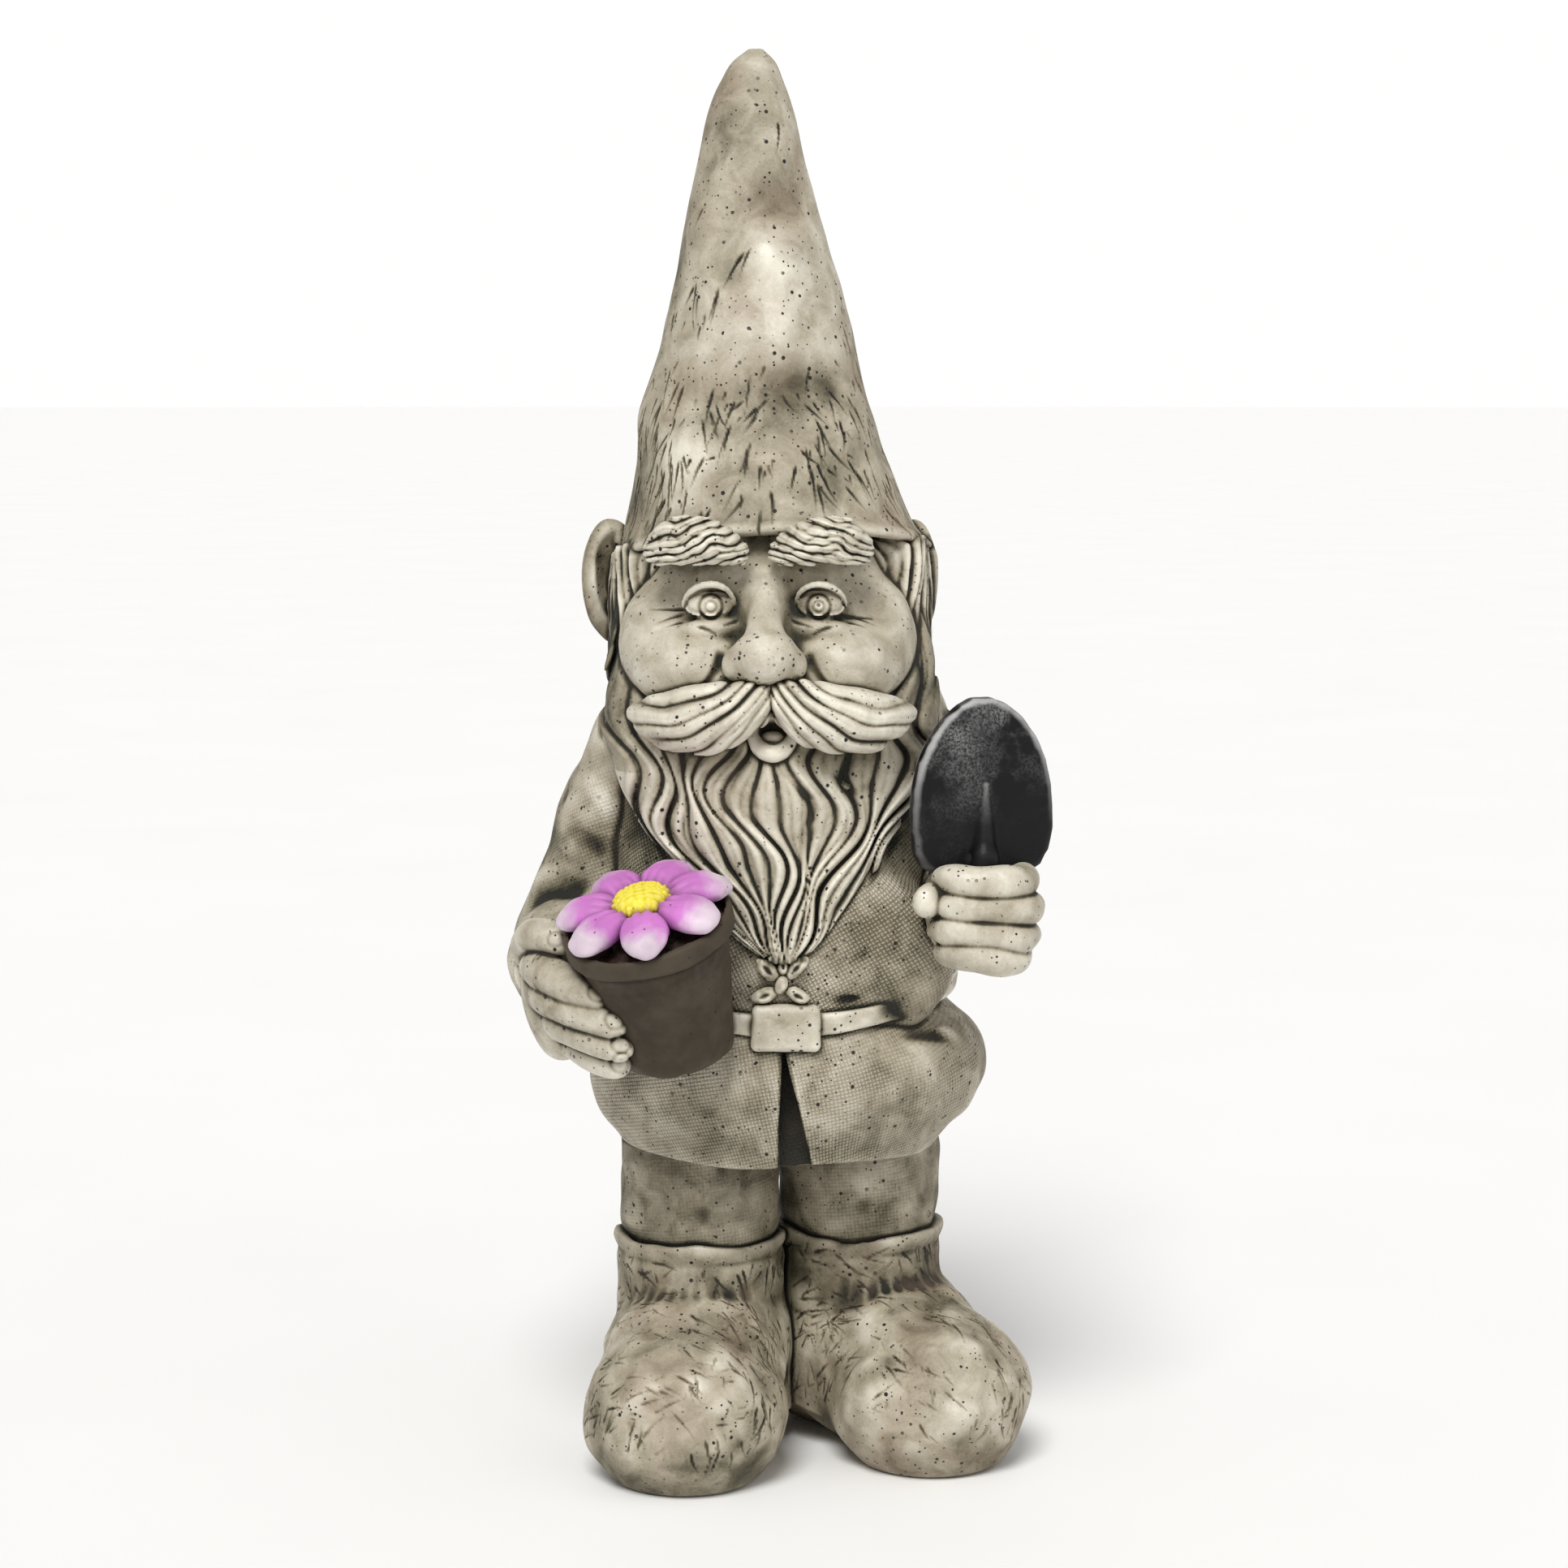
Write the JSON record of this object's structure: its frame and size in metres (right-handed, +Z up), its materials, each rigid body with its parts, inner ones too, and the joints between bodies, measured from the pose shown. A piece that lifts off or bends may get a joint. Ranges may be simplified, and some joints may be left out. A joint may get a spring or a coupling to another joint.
{
  "type": "garden gnome",
  "caption": "Standing garden gnome statue in cast stone with a tall pointed hat and long beard, holding a potted flower and a trowel; stands outdoors as an ornament.",
  "frame": {"origin": "centre of the outline's footprint, on the floor plane under the boot soles", "axes": "+Z up along the figure's height, -Y the way the gnome faces, +X the gnome's left"},
  "size_m": [0.3011, 0.2812, 0.8],
  "materials": {
    "carved_stone": "weathered taupe cast stone with dark wash in the carved strokes",
    "pale_stone": "pale cream-grey cast stone, satin, dark wash in the creases",
    "cloth_stone": "grey-beige cast stone with a woven texture cast in",
    "belt_stone": "grey-beige cast stone, smooth",
    "boot_stone": "grey-brown cast stone with pale rubbed toes",
    "pot_stone": "cast stone painted matte dark brown",
    "soil_stone": "cast stone painted dark earth brown, coarse",
    "pink_paint": "cast stone painted pink with frosted pale tips",
    "yellow_paint": "cast stone painted yellow, pitted",
    "trowel_black": "cast stone painted black with silver rubbed over the high parts",
    "steel": "plain steel bar"
  },
  "bodies": {
    "root": {"hat": "carved_stone", "right_eyebrow": "carved_stone", "left_eyebrow": "carved_stone", "right_moustache": "carved_stone", "left_moustache": "carved_stone", "beard": "carved_stone", "hair_back": "carved_stone", "head": "pale_stone", "right_ear": "pale_stone", "left_ear": "pale_stone", "right_hand": "pale_stone", "left_hand": "pale_stone", "jacket_body": "cloth_stone", "jacket_collar": "cloth_stone", "jacket_skirt": "cloth_stone", "right_sleeve": "cloth_stone", "left_sleeve": "cloth_stone", "lace_bow": "cloth_stone", "right_trouser_leg": "cloth_stone", "left_trouser_leg": "cloth_stone", "belt": "belt_stone", "belt_buckle": "belt_stone", "right_boot": "boot_stone", "left_boot": "boot_stone", "flower_pot": "pot_stone", "pot_soil": "soil_stone", "flower_centre": "yellow_paint", "petal_1": "pink_paint", "petal_2": "pink_paint", "petal_3": "pink_paint", "petal_4": "pink_paint", "petal_5": "pink_paint", "petal_6": "pink_paint", "petal_7": "pink_paint", "trowel_blade": "trowel_black", "trowel_handle": "trowel_black", "flower_stem": "steel", "right_leg_rod": "steel", "left_leg_rod": "steel", "neck_dowel": "steel", "hat_dowel": "steel", "right_wrist_dowel": "steel", "left_wrist_dowel": "steel", "pot_pin": "steel"}
  },
  "joints": []
}
